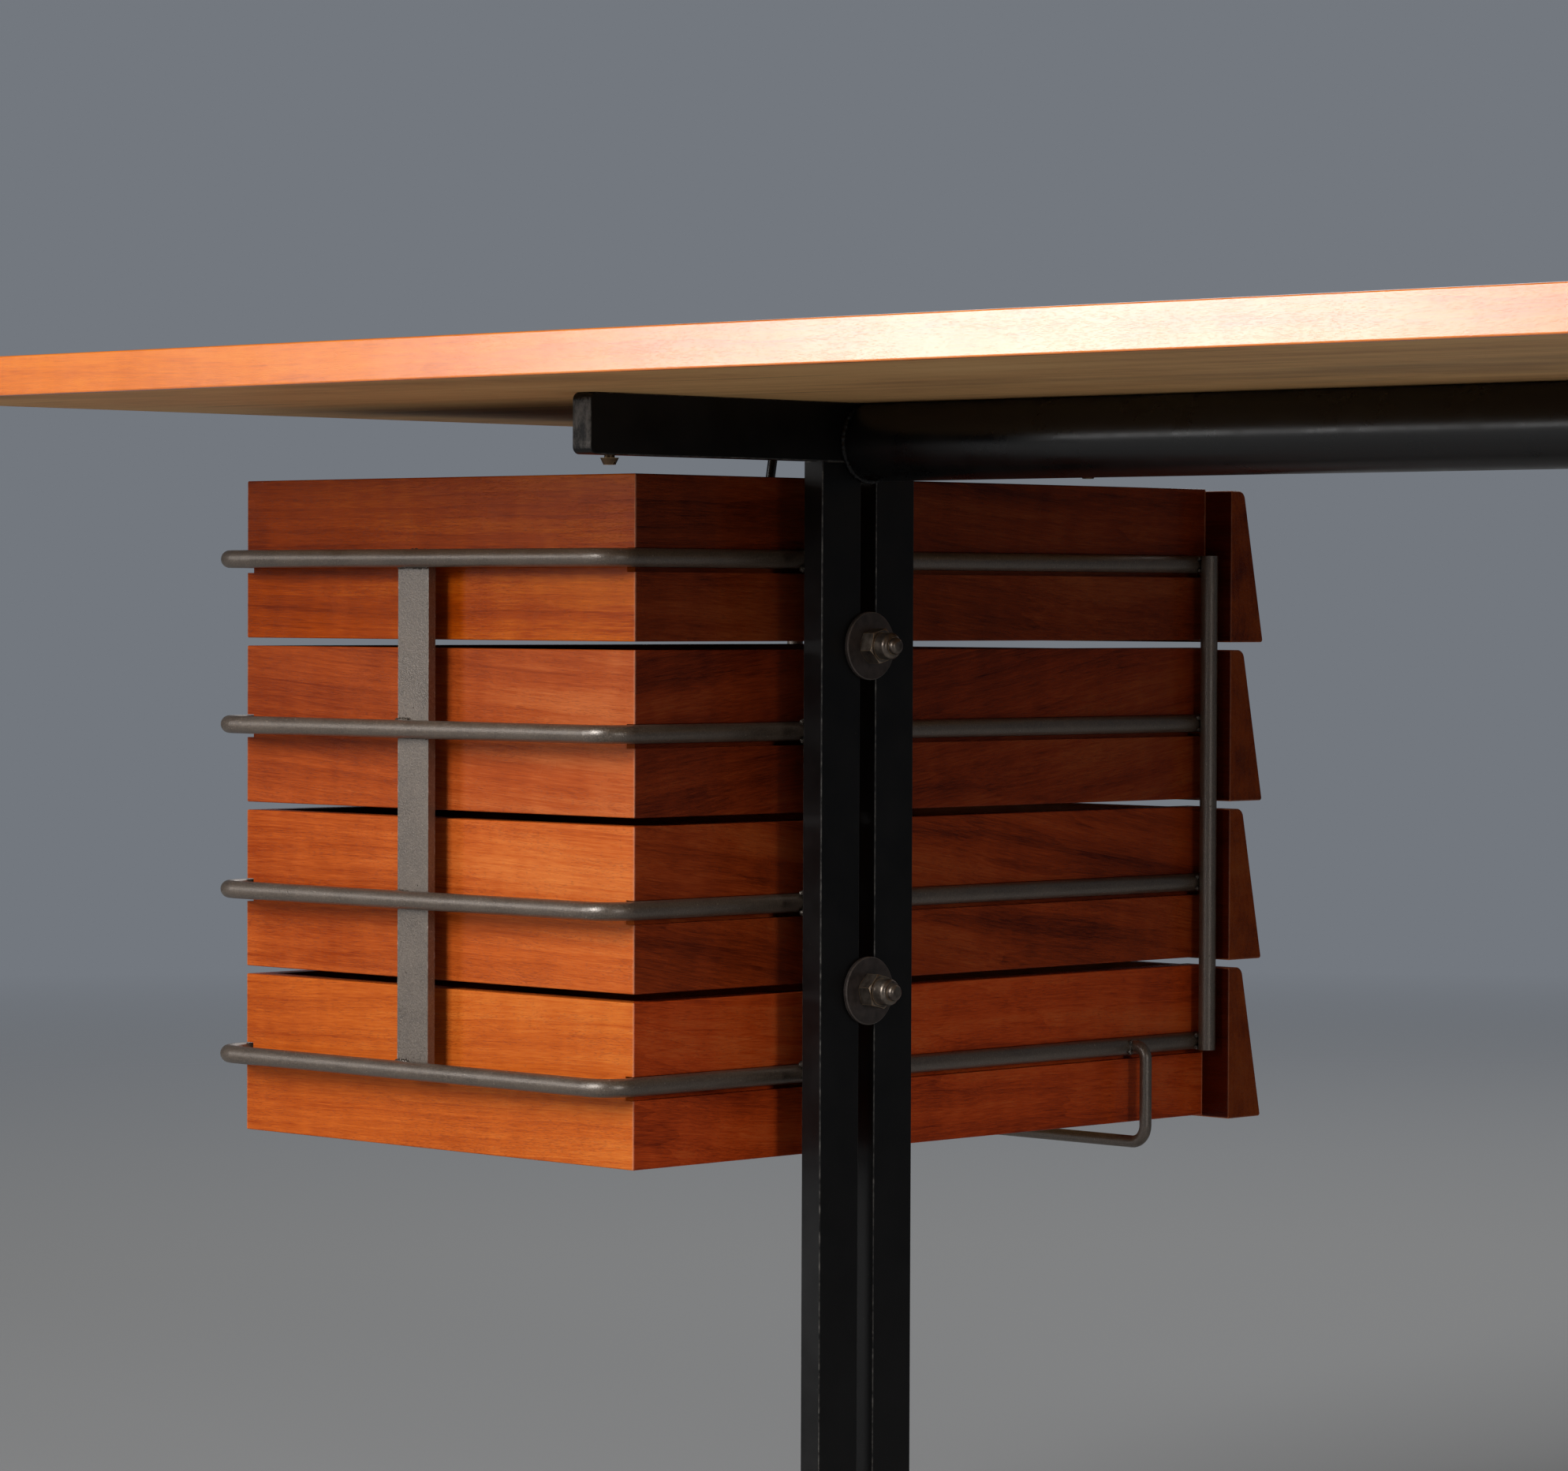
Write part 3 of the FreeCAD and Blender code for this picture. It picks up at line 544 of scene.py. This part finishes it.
def bead_grower():
    """Row of overlapping molten drops along each edge, run together into one bead."""
    tree, given, result = new_grower("weld_bead", ("Drop spacing", "Grid size", "Roughness depth"))
    seams = geometry_node(tree, "MeshToCurve", {"Mesh": given["Geometry"]}).outputs["Curve"]
    cut = {"Curve": seams, "Length": given["Drop spacing"]}
    drops = geometry_node(tree, "ResampleCurve", cut, mode="LENGTH").outputs["Curve"]
    drops = geometry_node(tree, "CurveToPoints", {"Curve": drops}, mode="EVALUATED").outputs["Points"]
    width = geometry_node(tree, "InputNamedAttribute", {"Name": "bead"}, data_type="FLOAT")
    width = width.outputs["Attribute"]
    span = {2: 0.7, 3: 1.15, "Seed": 4}
    share = function_node(tree, "RandomValue", span, data_type="FLOAT").outputs[1]
    radius = sums(tree, "MULTIPLY", width, share)
    molten = {"Points": drops, "Voxel Size": given["Grid size"], "Radius": radius}
    molten = geometry_node(tree, "PointsToVolume", molten, resolution_mode="VOXEL_SIZE").outputs["Volume"]
    skin = {"Volume": molten, "Voxel Size": given["Grid size"], "Threshold": 0.1}
    skin = geometry_node(tree, "VolumeToMesh", skin, resolution_mode="VOXEL_SIZE").outputs["Mesh"]
    place = geometry_node(tree, "InputPosition").outputs["Position"]
    normal = geometry_node(tree, "InputNormal").outputs["Normal"]
    lumps = sums(tree, "SUBTRACT", cloud(tree, place, 700.0, detail=2.0), 0.5)
    push = sums(tree, "MULTIPLY", lumps, given["Roughness depth"])
    push = put(tree, "VectorMath", {0: normal, "Scale": push}, operation="SCALE").outputs[0]
    skin = geometry_node(tree, "SetPosition", {"Geometry": skin, "Offset": push}).outputs["Geometry"]
    finish_growing(tree, skin, given, result)
    return tree


def spatter_grower():
    """Small beads frozen on to faces near a weld."""
    tree, given, result = new_grower("weld_spatter", ("Per square metre", "Least radius", "Most radius"))
    scatter = {"Mesh": given["Geometry"], "Density": given["Per square metre"], "Seed": 11}
    drops = geometry_node(tree, "DistributePointsOnFaces", scatter).outputs["Points"]
    ball = geometry_node(tree, "MeshIcoSphere", {"Radius": 1.0, "Subdivisions": 1}).outputs["Mesh"]
    span = {2: given["Least radius"], 3: given["Most radius"], "Seed": 5}
    size = function_node(tree, "RandomValue", span, data_type="FLOAT").outputs[1]
    set_down = {"Points": drops, "Instance": ball, "Scale": size}
    balls = geometry_node(tree, "InstanceOnPoints", set_down).outputs["Instances"]
    finish_growing(tree, balls, given, result)
    return tree


def finish_growing(tree, grown, given, result):
    grown = geometry_node(tree, "RealizeInstances", {"Geometry": grown}).outputs["Geometry"]
    grown = geometry_node(tree, "SetShadeSmooth", {"Geometry": grown}).outputs["Geometry"]
    painted = geometry_node(tree, "SetMaterial", {"Geometry": grown, "Material": given["Finish"]})
    tree.links.new(painted.outputs["Geometry"], result["Geometry"])


def grow(name, mesh, tree, sizes, finish):
    """Run a tree on a mesh and keep the result as a plain piece."""
    piece = bpy.data.objects.new(name, mesh)
    bpy.context.scene.collection.objects.link(piece)
    modifier = piece.modifiers.new("grow", "NODES")
    modifier.node_group = tree
    for socket in tree.interface.items_tree:
        if socket.in_out == "INPUT" and socket.name in sizes:
            modifier[socket.identifier] = sizes[socket.name]
        elif socket.name == "Finish":
            modifier[socket.identifier] = finish
    graph = bpy.context.evaluated_depsgraph_get()
    grown = bpy.data.meshes.new_from_object(piece.evaluated_get(graph), depsgraph=graph)
    piece.modifiers.clear()
    piece.data = grown
    grown.name = name
    return piece


class Seams:
    """Lines that beads are grown along, each with its bead's radius."""

    def __init__(self):
        self.points = []
        self.edges = []
        self.widths = []

    def add(self, line, radius):
        first = len(self.points)
        self.points += [tuple(point) for point in line]
        self.edges += [(first + step, first + step + 1) for step in range(len(line) - 1)]
        self.widths += [radius] * len(line)

    def mesh(self, name):
        made = bpy.data.meshes.new(name)
        made.from_pydata(self.points, self.edges, [])
        widths = made.attributes.new("bead", "FLOAT", "POINT")
        widths.data.foreach_set("value", self.widths)
        return made


def middle(box):
    return (box[0] + box[1]) / 2


def beside_rod(rod_radius, bead):
    """How far from a rod's axis, along a flat that the rod lies on, a bead sits in the corner."""
    return math.sqrt(4 * rod_radius * bead) - 0.45 * bead


def strap_seams(seams):
    """Tacks above and below each runner rod, at the back of the strap, no two rods alike."""
    low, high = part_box("rear_strap")
    fullness = {1: 1.0, 2: 0.85, 3: 0.6, 4: 0.72}
    for number in DRAWERS:
        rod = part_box("runner_rod_%d" % number)
        level = middle(rod).z
        radius = (rod[1].z - rod[0].z) / 2
        # Radius, ends as shares of the strap's width, and above (1) or below (-1) the rod
        for bead, start, end, side in (
            (1.7 * MM, 0.0, 0.34, 1),
            (1.2 * MM, 0.5, 0.62, 1),
            (1.1 * MM, 0.86, 1.0, 1),
            (1.3 * MM, 0.05, 0.95, -1),
        ):
            bead = bead * fullness[number]
            height = level + side * beside_rod(radius, bead)
            if height > high.z:
                continue
            ends = [high.x - share * (high.x - low.x) for share in (start, end)]
            seams.add([Vector((x, high.y + 0.6 * bead, height)) for x in ends], bead)


def upright_seams(seams):
    """Beads where the front ends of the runner rods lie against the uprights."""
    bead = 1.4 * MM
    for side, name in ((-1, "front_upright_inner"), (1, "front_upright_outer")):
        low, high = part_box(name)
        radius = (high.x - low.x) / 2
        axis = middle((low, high))
        touch = axis.x - side * radius
        for number in DRAWERS:
            level = middle(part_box("runner_rod_%d" % number)).z
            reach = beside_rod(radius, bead)
            for turn in (-1, 1):
                height = level + turn * reach * 0.75
                if low.z < height < high.z:
                    across = [Vector((touch, axis.y + share * radius, height)) for share in (-0.6, 0.7)]
                    seams.add(across, bead)


def guard_seams(seams):
    """Beads where the guard's ends meet the lowest runner rod."""
    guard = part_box("bottom_guard")
    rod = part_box("runner_rod_%d" % DRAWERS[-1])
    bead = 1.3 * MM
    sunk = 0.4 * MM
    off_middle = 3.6 * MM
    level = middle(rod).z
    radius = (rod[1].z - rod[0].z) / 2
    for x in (rod[0].x + sunk, rod[1].x - sunk):
        for turn in (-1, 1):
            y = middle(guard).y + turn * off_middle
            seams.add([Vector((x, y, level - 0.7 * radius)), Vector((x, y, level + 0.5 * radius))], bead)


def stay_seams(seams):
    """Beads at the foot and head of the leaning stay."""
    low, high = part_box("outer_stay")
    bead = 1.2 * MM
    radius = 5.4 * MM
    axis_x = middle((low, high)).x
    for z, y in ((high.z - bead / 2, low.y + 5 * MM), (low.z + 4 * MM, high.y - 5 * MM)):
        ring = [
            Vector((axis_x + radius * math.cos(turn), y + radius * math.sin(turn), z))
            for turn in [math.radians(45 * step) for step in range(9)]
        ]
        seams.add(ring, bead)


def mounting_seams(seams):
    """Beads that hold the mounting bar to the runner rods."""
    low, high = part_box("mounting_bar")
    bead = 1.8 * MM
    for number in DRAWERS:
        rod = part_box("runner_rod_%d" % number)
        level = middle(rod).z
        radius = (rod[1].z - rod[0].z) / 2
        for turn in (-1, 1):
            height = level + turn * beside_rod(radius, bead)
            if low.z < height < high.z:
                seams.add([Vector((high.x + 0.6 * bead, y, height)) for y in (low.y, high.y)], bead)


def tube_seams(seams):
    """Bead round each end of the tube."""
    low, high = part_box("stretcher_tube")
    axis = middle((low, high))
    radius = (high.z - low.z) / 2
    bead = 1.6 * MM
    for x in (low.x + 0.5 * bead, high.x - 0.5 * bead):
        ring = [
            Vector((x, axis.y + radius * math.sin(turn), axis.z - radius * math.cos(turn)))
            for turn in [math.radians(7.5 * step) for step in range(-19, 20)]
        ]
        seams.add(ring, bead)


def weld():
    grower = bead_grower()
    burnt = weld_metal("weld_metal")
    black = black_enamel("black_enamel_weld")
    basket = Seams()
    for lay in (strap_seams, upright_seams, guard_seams, stay_seams, mounting_seams):
        lay(basket)
    stand = Seams()
    tube_seams(stand)
    sizes = {"Drop spacing": 1.1 * MM, "Grid size": 0.45 * MM, "Roughness depth": 0.7 * MM}
    for name, seams, finish, slot in (
        ("basket_welds", basket, burnt, "gunmetal_paint"),
        ("stand_welds", stand, black, "black_paint"),
    ):
        piece = grow(name, seams.mesh(name), grower, sizes, finish)
        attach(piece, "frame")

    low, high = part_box("rear_strap")
    near = 13 * MM
    corners, faces = [], []
    for number in DRAWERS:
        level = middle(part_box("runner_rod_%d" % number)).z
        top = min(level + near, high.z)
        first = len(corners)
        corners += [(high.x, high.y, level), (low.x, high.y, level)]
        corners += [(low.x, high.y, top), (high.x, high.y, top)]
        faces.append(tuple(range(first, first + 4)))
    patch = bpy.data.meshes.new("spatter_patches")
    patch.from_pydata(corners, [], faces)
    sizes = {"Per square metre": 26000.0, "Least radius": 0.16 * MM, "Most radius": 0.45 * MM}
    piece = grow("weld_spatter", patch, spatter_grower(), sizes, burnt)
    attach(piece, "frame")


weld()


# Camera: low behind the right-hand end, turned with a long lens
def place_camera():
    place = Vector((-1.542166, 2.136453, 0.609185))
    heading, pitch, roll = 2.3658, -0.0238, 0.0039
    frame_width, focal_length = 1988, 6900
    level_ahead = Vector((math.sin(heading), math.cos(heading), 0.0))
    level_right = Vector((math.cos(heading), -math.sin(heading), 0.0))
    forward = math.cos(pitch) * level_ahead + math.sin(pitch) * Vector((0.0, 0.0, 1.0))
    level_up = level_right.cross(forward)
    right = math.cos(roll) * level_right + math.sin(roll) * level_up
    up = math.cos(roll) * level_up - math.sin(roll) * level_right
    data = bpy.data.cameras.new("camera")
    data.sensor_fit = "HORIZONTAL"
    data.sensor_width = 36.0
    data.lens = focal_length / frame_width * data.sensor_width
    camera = bpy.data.objects.new("camera", data)
    turned = Matrix((right, up, -forward)).transposed().to_4x4()
    camera.matrix_world = Matrix.Translation(place) @ turned
    bpy.context.scene.collection.objects.link(camera)
    bpy.context.scene.camera = camera


# Light: a large soft panel behind the desk, a tall strip beside it, and weak ones at the side and front
def panel(name, place, aim, width, height, power):
    data = bpy.data.lights.new(name, "AREA")
    data.shape = "RECTANGLE"
    data.size = width
    data.size_y = height
    data.energy = power
    lamp = bpy.data.objects.new(name, data)
    lamp.location = place
    lamp.rotation_euler = (Vector(aim) - Vector(place)).to_track_quat("-Z", "Y").to_euler()
    bpy.context.scene.collection.objects.link(lamp)


def bearing(around, above):
    """Direction turned from +Y towards +X, and raised, in degrees."""
    around, above = math.radians(around), math.radians(above)
    return Vector((math.sin(around) * math.cos(above), math.cos(around) * math.cos(above), math.sin(above)))


def light_room():
    basket = Vector((0.6, 0.15, 0.5))
    rear_edge = Vector((0.05, 0.365, 0.72))
    # Aim, distance in metres, bearing in degrees, size in metres and power in watts
    for name, aim, distance, around, above, width, height, power in (
        ("key_panel", basket, 5.0, 1.5, 25, 2.0, 2.8, 215.0),
        ("tall_strip", rear_edge, 7.0, 40.8, 11, 1.6, 3.4, 106.0),
        ("side_panel", basket, 4.0, -78, 14, 0.6, 1.75, 44.0),
        ("front_panel", basket, 5.0, 155, 35, 4.0, 3.0, 75.0),
    ):
        panel(name, aim + distance * bearing(around, above), aim, width, height, power)

    world = bpy.data.worlds.new("room")
    world.use_nodes = True
    tree = world.node_tree
    tree.nodes.clear()
    rays = put(tree, "LightPath").outputs
    seen = sums(tree, "MAXIMUM", rays["Is Camera Ray"], rays["Is Transmission Ray"])
    seen = sums(tree, "MULTIPLY_ADD", rays["Is Glossy Ray"], 0.4, seen, clamp=True)
    wall = put(tree, "Background", {"Color": colour("#73787f"), "Strength": 1.0})
    ambient = put(tree, "Background", {"Color": colour("#f2f5f8"), "Strength": 0.012})
    mixed = put(tree, "MixShader", {0: seen, 1: ambient.outputs[0], 2: wall.outputs[0]})
    put(tree, "OutputWorld", {"Surface": mixed.outputs[0]})
    bpy.context.scene.world = world


def lay_floor():
    """Round pale floor that fades into the room at its rim."""
    reach = 7.0
    turns = [math.radians(5.625 * step) for step in range(64)]
    rim = [(reach * math.cos(turn), reach * math.sin(turn), 0.0) for turn in turns]
    mesh = bpy.data.meshes.new("floor")
    mesh.from_pydata(rim, [], [tuple(range(64))])
    floor = bpy.data.objects.new("floor", mesh)
    bpy.context.scene.collection.objects.link(floor)
    finish, tree, shader, place = new_finish("pale_floor")
    shader.inputs["Base Color"].default_value = colour("#9fa0a1")
    shader.inputs["Roughness"].default_value = 0.8
    radius = put(tree, "VectorMath", {0: place}, operation="LENGTH").outputs["Value"]
    clear = put(tree, "BsdfTransparent")
    from_below = put(tree, "NewGeometry").outputs["Backfacing"]
    fade = sums(tree, "MAXIMUM", spread(tree, radius, 2.6, 6.5), from_below)
    faded = put(tree, "MixShader", {0: fade, 1: shader.outputs[0], 2: clear.outputs[0]})
    output = [made for made in tree.nodes if made.type == "OUTPUT_MATERIAL"][0]
    tree.links.new(faded.outputs[0], output.inputs["Surface"])
    mesh.materials.append(finish)


place_camera()
light_room()
lay_floor()
bpy.context.scene.view_settings.view_transform = "Standard"
